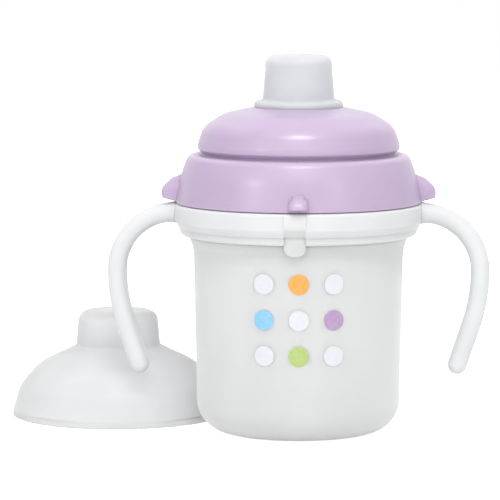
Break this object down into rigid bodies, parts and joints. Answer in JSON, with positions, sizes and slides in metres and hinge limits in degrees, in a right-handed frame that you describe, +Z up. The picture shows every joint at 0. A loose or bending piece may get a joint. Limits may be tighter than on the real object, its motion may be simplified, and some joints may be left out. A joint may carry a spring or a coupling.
{
  "type": "sippy cup",
  "caption": "Training cup with a handle on each side, a frosted body, a lilac screw lid with a soft spout, and a clear overcap standing beside it.",
  "frame": {"origin": "centre of the underside of the cup, on the surface that it stands on", "axes": "+Z up, +X towards the right handle, -Y towards the front of the cup"},
  "size_m": [0.1779, 0.1237, 0.1372],
  "materials": {
    "frosted_plastic": "frosted translucent polypropylene",
    "white_plastic": "satin white polypropylene",
    "lilac_plastic": "satin lilac polypropylene",
    "seal_silicone": "milky silicone",
    "spout_silicone": "translucent silicone",
    "clear_plastic": "clear, slightly hazy polypropylene"
  },
  "bodies": {
    "cup_body": {"cup": "frosted_plastic", "handle_ring": "white_plastic"},
    "gasket_body": {"lid_gasket": "seal_silicone"},
    "lid_body": {"lid": "lilac_plastic", "spout": "spout_silicone", "spout_valve": "seal_silicone", "vent_valve": "seal_silicone"},
    "overcap_body": {"overcap": "clear_plastic"}
  },
  "joints": [
    {"name": "lid_rise", "type": "slide", "parent": "cup_body", "child": "gasket_body", "axis": [0, 0, 1], "range_m": [0, 0.0152]},
    {"name": "lid_turn", "type": "hinge", "parent": "gasket_body", "child": "lid_body", "pos_m": [0, 0, 0.09], "axis": [0, 0, 1], "range_deg": [0, 540]},
    {"name": "overcap_slide", "type": "slide", "parent": "cup_body", "child": "overcap_body", "axis": [-0.8886, 0.4587, 0], "range_m": [0, 0.08]}
  ],
  "couplings": [
    {"joint": "lid_rise", "follows": "lid_turn", "m_per_rad": 0.0015915}
  ]
}
